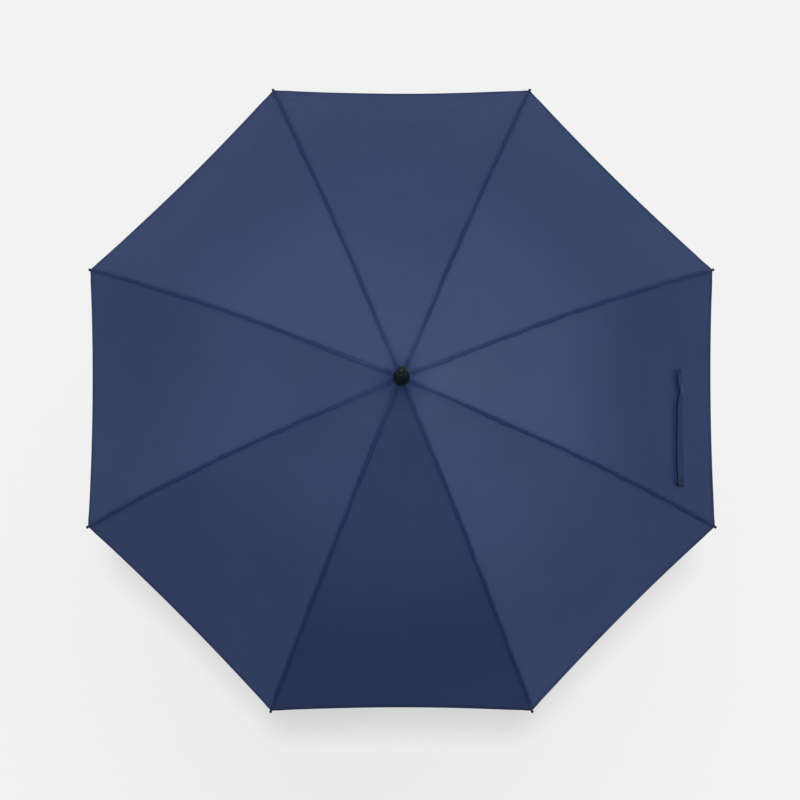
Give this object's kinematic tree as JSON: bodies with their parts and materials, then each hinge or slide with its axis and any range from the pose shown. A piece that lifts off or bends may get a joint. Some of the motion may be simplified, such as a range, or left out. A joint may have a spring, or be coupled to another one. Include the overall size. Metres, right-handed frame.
{
  "type": "stick umbrella",
  "caption": "Open stick umbrella with a ribbed navy fabric canopy, steel frame, sliding runner, crook handle and closing strap.",
  "frame": {"origin": "on the shaft's axis, at the middle of the handle's straight grip", "axes": "+Z along the shaft towards the ferrule; +X from the shaft through the middle of the gore that carries the closing strap, and the crook bends towards +X"},
  "size_m": [0.9652, 0.9652, 0.865],
  "materials": {
    "canopy_fabric": "satin",
    "rib_steel": "satin",
    "tip_black": "satin",
    "shaft_steel": "gloss",
    "moulded_black": "satin",
    "ferrule_black": "gloss",
    "handle_black": "satin",
    "collar_metal": "satin",
    "snap_metal": "gloss"
  },
  "bodies": {
    "root": {"shaft_tube": "shaft_steel", "crown": "moulded_black", "crown_wire": "rib_steel", "canopy_cap": "moulded_black", "ferrule": "ferrule_black", "ferrule_tip": "ferrule_black", "stop_pin": "shaft_steel", "handle": "handle_black", "handle_collar": "collar_metal", "handle_pin": "shaft_steel"},
    "rib_1": {"rib_1": "rib_steel", "canopy_panel_1": "canopy_fabric"},
    "rib_outer_1": {"rib_outer_1": "rib_steel", "rib_tip_1": "tip_black"},
    "stretcher_1": {"stretcher_1": "rib_steel"},
    "rib_2": {"rib_2": "rib_steel", "canopy_panel_2": "canopy_fabric"},
    "rib_outer_2": {"rib_outer_2": "rib_steel", "rib_tip_2": "tip_black"},
    "stretcher_2": {"stretcher_2": "rib_steel"},
    "rib_3": {"rib_3": "rib_steel", "canopy_panel_3": "canopy_fabric"},
    "rib_outer_3": {"rib_outer_3": "rib_steel", "rib_tip_3": "tip_black"},
    "stretcher_3": {"stretcher_3": "rib_steel"},
    "rib_4": {"rib_4": "rib_steel", "canopy_panel_4": "canopy_fabric"},
    "rib_outer_4": {"rib_outer_4": "rib_steel", "rib_tip_4": "tip_black"},
    "stretcher_4": {"stretcher_4": "rib_steel"},
    "rib_5": {"rib_5": "rib_steel", "canopy_panel_5": "canopy_fabric"},
    "rib_outer_5": {"rib_outer_5": "rib_steel", "rib_tip_5": "tip_black"},
    "stretcher_5": {"stretcher_5": "rib_steel"},
    "rib_6": {"rib_6": "rib_steel", "canopy_panel_6": "canopy_fabric"},
    "rib_outer_6": {"rib_outer_6": "rib_steel", "rib_tip_6": "tip_black"},
    "stretcher_6": {"stretcher_6": "rib_steel"},
    "rib_7": {"rib_7": "rib_steel", "canopy_panel_7": "canopy_fabric"},
    "rib_outer_7": {"rib_outer_7": "rib_steel", "rib_tip_7": "tip_black"},
    "stretcher_7": {"stretcher_7": "rib_steel"},
    "rib_8": {"rib_8": "rib_steel", "canopy_panel_8": "canopy_fabric"},
    "rib_outer_8": {"rib_outer_8": "rib_steel", "rib_tip_8": "tip_black"},
    "stretcher_8": {"stretcher_8": "rib_steel"},
    "runner": {"runner": "moulded_black", "runner_wire": "rib_steel"},
    "top_catch": {"top_catch": "shaft_steel"},
    "bottom_catch": {"bottom_catch": "shaft_steel"},
    "strap_root": {"strap_patch": "canopy_fabric"},
    "strap": {"strap": "canopy_fabric", "strap_snap": "snap_metal"}
  },
  "joints": [
    {"name": "fold", "type": "hinge", "parent": "root", "child": "rib_1", "pos_m": [0.00924, 0.00383, 0.69], "axis": [-0.3827, 0.9239, 0], "range_deg": [0, 72.63], "deforming": ["canopy_panel_1", "canopy_panel_2", "canopy_panel_3", "canopy_panel_4", "canopy_panel_5", "canopy_panel_6", "canopy_panel_7", "canopy_panel_8", "top_catch", "bottom_catch", "strap"]},
    {"name": "rib_fold_2", "type": "hinge", "parent": "root", "child": "rib_2", "pos_m": [0.00383, 0.00924, 0.69], "axis": [-0.9239, 0.3827, 0], "range_deg": [0, 73.13]},
    {"name": "rib_fold_3", "type": "hinge", "parent": "root", "child": "rib_3", "pos_m": [-0.00383, 0.00924, 0.69], "axis": [-0.9239, -0.3827, 0], "range_deg": [0, 73.13]},
    {"name": "rib_fold_4", "type": "hinge", "parent": "root", "child": "rib_4", "pos_m": [-0.00924, 0.00383, 0.69], "axis": [-0.3827, -0.9239, 0], "range_deg": [0, 73.13]},
    {"name": "rib_fold_5", "type": "hinge", "parent": "root", "child": "rib_5", "pos_m": [-0.00924, -0.00383, 0.69], "axis": [0.3827, -0.9239, 0], "range_deg": [0, 73.13]},
    {"name": "rib_fold_6", "type": "hinge", "parent": "root", "child": "rib_6", "pos_m": [-0.00383, -0.00924, 0.69], "axis": [0.9239, -0.3827, 0], "range_deg": [0, 73.13]},
    {"name": "rib_fold_7", "type": "hinge", "parent": "root", "child": "rib_7", "pos_m": [0.00383, -0.00924, 0.69], "axis": [0.9239, 0.3827, 0], "range_deg": [0, 73.13]},
    {"name": "rib_fold_8", "type": "hinge", "parent": "root", "child": "rib_8", "pos_m": [0.00924, -0.00383, 0.69], "axis": [0.3827, 0.9239, 0], "range_deg": [0, 73.13]},
    {"name": "rib_flex_1", "type": "hinge", "parent": "rib_1", "child": "rib_outer_1", "pos_m": [0.25844, 0.10705, 0.62091], "axis": [-0.3827, 0.9239, 0], "range_deg": [-19.8, 0]},
    {"name": "rib_flex_2", "type": "hinge", "parent": "rib_2", "child": "rib_outer_2", "pos_m": [0.10705, 0.25844, 0.62091], "axis": [-0.9239, 0.3827, 0], "range_deg": [-19.8, 0]},
    {"name": "rib_flex_3", "type": "hinge", "parent": "rib_3", "child": "rib_outer_3", "pos_m": [-0.10705, 0.25844, 0.62091], "axis": [-0.9239, -0.3827, 0], "range_deg": [-19.8, 0]},
    {"name": "rib_flex_4", "type": "hinge", "parent": "rib_4", "child": "rib_outer_4", "pos_m": [-0.25844, 0.10705, 0.62091], "axis": [-0.3827, -0.9239, 0], "range_deg": [-19.8, 0]},
    {"name": "rib_flex_5", "type": "hinge", "parent": "rib_5", "child": "rib_outer_5", "pos_m": [-0.25844, -0.10705, 0.62091], "axis": [0.3827, -0.9239, 0], "range_deg": [-19.8, 0]},
    {"name": "rib_flex_6", "type": "hinge", "parent": "rib_6", "child": "rib_outer_6", "pos_m": [-0.10705, -0.25844, 0.62091], "axis": [0.9239, -0.3827, 0], "range_deg": [-19.8, 0]},
    {"name": "rib_flex_7", "type": "hinge", "parent": "rib_7", "child": "rib_outer_7", "pos_m": [0.10705, -0.25844, 0.62091], "axis": [0.9239, 0.3827, 0], "range_deg": [-19.8, 0]},
    {"name": "rib_flex_8", "type": "hinge", "parent": "rib_8", "child": "rib_outer_8", "pos_m": [0.25844, -0.10705, 0.62091], "axis": [0.3827, 0.9239, 0], "range_deg": [-19.8, 0]},
    {"name": "stretcher_hinge_1", "type": "hinge", "parent": "rib_1", "child": "stretcher_1", "pos_m": [0.25844, 0.10705, 0.62091], "axis": [-0.3827, 0.9239, 0], "range_deg": [-145.76, 0]},
    {"name": "stretcher_hinge_2", "type": "hinge", "parent": "rib_2", "child": "stretcher_2", "pos_m": [0.10705, 0.25844, 0.62091], "axis": [-0.9239, 0.3827, 0], "range_deg": [-145.76, 0]},
    {"name": "stretcher_hinge_3", "type": "hinge", "parent": "rib_3", "child": "stretcher_3", "pos_m": [-0.10705, 0.25844, 0.62091], "axis": [-0.9239, -0.3827, 0], "range_deg": [-145.76, 0]},
    {"name": "stretcher_hinge_4", "type": "hinge", "parent": "rib_4", "child": "stretcher_4", "pos_m": [-0.25844, 0.10705, 0.62091], "axis": [-0.3827, -0.9239, 0], "range_deg": [-145.76, 0]},
    {"name": "stretcher_hinge_5", "type": "hinge", "parent": "rib_5", "child": "stretcher_5", "pos_m": [-0.25844, -0.10705, 0.62091], "axis": [0.3827, -0.9239, 0], "range_deg": [-145.76, 0]},
    {"name": "stretcher_hinge_6", "type": "hinge", "parent": "rib_6", "child": "stretcher_6", "pos_m": [-0.10705, -0.25844, 0.62091], "axis": [0.9239, -0.3827, 0], "range_deg": [-145.76, 0]},
    {"name": "stretcher_hinge_7", "type": "hinge", "parent": "rib_7", "child": "stretcher_7", "pos_m": [0.10705, -0.25844, 0.62091], "axis": [0.9239, 0.3827, 0], "range_deg": [-145.76, 0]},
    {"name": "stretcher_hinge_8", "type": "hinge", "parent": "rib_8", "child": "stretcher_8", "pos_m": [0.25844, -0.10705, 0.62091], "axis": [0.3827, 0.9239, 0], "range_deg": [-145.76, 0]},
    {"name": "runner_hinge", "type": "hinge", "parent": "stretcher_1", "child": "runner", "pos_m": [0.00924, 0.00383, 0.55182], "axis": [-0.3827, 0.9239, 0], "range_deg": [0, 73.13]},
    {"name": "strap_fold", "type": "hinge", "parent": "root", "child": "strap_root", "pos_m": [0.04501, 0.22332, 0.72146], "axis": [0.1932, 0.8713, -0.451], "range_deg": [0, 52.85]},
    {"name": "strap_swing", "type": "hinge", "parent": "strap_root", "child": "strap", "pos_m": [0.41995, 0.024, 0.497], "axis": [0.69, 0, 0.7238], "range_deg": [0, 90.5]},
    {"name": "top_catch_press", "type": "slide", "parent": "root", "child": "top_catch", "axis": [-1, 0, 0], "range_m": [0, 0.0034], "stiffness_N_per_m": 600},
    {"name": "bottom_catch_press", "type": "slide", "parent": "root", "child": "bottom_catch", "axis": [-1, 0, 0], "range_m": [0, 0.0034], "stiffness_N_per_m": 600}
  ],
  "couplings": [
    {"joint": "rib_fold_2", "follows": "fold", "ratio": 1},
    {"joint": "rib_fold_3", "follows": "fold", "ratio": 1},
    {"joint": "rib_fold_4", "follows": "fold", "ratio": 1},
    {"joint": "rib_fold_5", "follows": "fold", "ratio": 1},
    {"joint": "rib_fold_6", "follows": "fold", "ratio": 1},
    {"joint": "rib_fold_7", "follows": "fold", "ratio": 1},
    {"joint": "rib_fold_8", "follows": "fold", "ratio": 1},
    {"joint": "rib_flex_1", "follows": "fold", "ratio": -0.26573},
    {"joint": "rib_flex_2", "follows": "fold", "ratio": -0.26573},
    {"joint": "rib_flex_3", "follows": "fold", "ratio": -0.26573},
    {"joint": "rib_flex_4", "follows": "fold", "ratio": -0.26573},
    {"joint": "rib_flex_5", "follows": "fold", "ratio": -0.26573},
    {"joint": "rib_flex_6", "follows": "fold", "ratio": -0.26573},
    {"joint": "rib_flex_7", "follows": "fold", "ratio": -0.26573},
    {"joint": "rib_flex_8", "follows": "fold", "ratio": -0.26573},
    {"joint": "stretcher_hinge_1", "follows": "fold", "ratio": -2},
    {"joint": "stretcher_hinge_2", "follows": "fold", "ratio": -2},
    {"joint": "stretcher_hinge_3", "follows": "fold", "ratio": -2},
    {"joint": "stretcher_hinge_4", "follows": "fold", "ratio": -2},
    {"joint": "stretcher_hinge_5", "follows": "fold", "ratio": -2},
    {"joint": "stretcher_hinge_6", "follows": "fold", "ratio": -2},
    {"joint": "stretcher_hinge_7", "follows": "fold", "ratio": -2},
    {"joint": "stretcher_hinge_8", "follows": "fold", "ratio": -2},
    {"joint": "runner_hinge", "follows": "fold", "ratio": 1},
    {"joint": "strap_fold", "follows": "fold", "ratio": 0.72078},
    {"joint": "strap_swing", "follows": "fold", "ratio": 1.2392}
  ]
}
